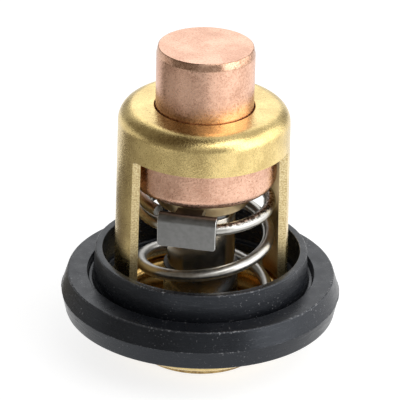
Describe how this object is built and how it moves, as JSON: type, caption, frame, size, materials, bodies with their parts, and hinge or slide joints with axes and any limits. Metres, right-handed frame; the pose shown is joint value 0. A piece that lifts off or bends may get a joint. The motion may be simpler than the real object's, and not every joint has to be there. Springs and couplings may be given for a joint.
{
  "type": "engine thermostat",
  "caption": "Wax-element poppet thermostat: copper element in a windowed brass cage, steel return spring, stem and valve disc, with a rubber seal ring round its flange.",
  "frame": {"origin": "under the middle of the valve disc, in the plane that the thermostat stands on", "axes": "+Z along the stem towards the wax element's bulb; the cage's two windows face -Y and +Y and its legs stand on -X and +X"},
  "size_m": [0.05, 0.05, 0.0588],
  "materials": {
    "brass": "satin, lightly tarnished and speckled",
    "copper": "satin copper, lightly mottled",
    "spring_steel": "bright drawn stainless wire",
    "strip_steel": "dull rolled stainless strip",
    "turned_steel": "turned, fine grooves",
    "rubber": "moulded, matt, dusty",
    "plug_rubber": "moulded",
    "washer_plastic": "plain",
    "wax": "wax with copper powder"
  },
  "bodies": {
    "housing": {"cage": "brass", "seat_cup": "brass", "seal_ring": "rubber", "element_cup": "copper", "wax_charge": "wax", "diaphragm": "plug_rubber", "guide": "brass", "plug_washer": "washer_plastic", "piston_plug": "plug_rubber", "return_spring": "spring_steel"},
    "valve": {"valve_disc": "brass", "valve_hub": "turned_steel", "stem_tube": "brass", "piston": "turned_steel", "spring_retainer": "strip_steel"}
  },
  "joints": [
    {"name": "valve_slide", "type": "slide", "parent": "housing", "child": "valve", "axis": [0, 0, -1], "range_m": [0, 0.007], "stiffness_N_per_m": 6700, "springref_m": -0.0005, "deforming": ["return_spring"]}
  ]
}
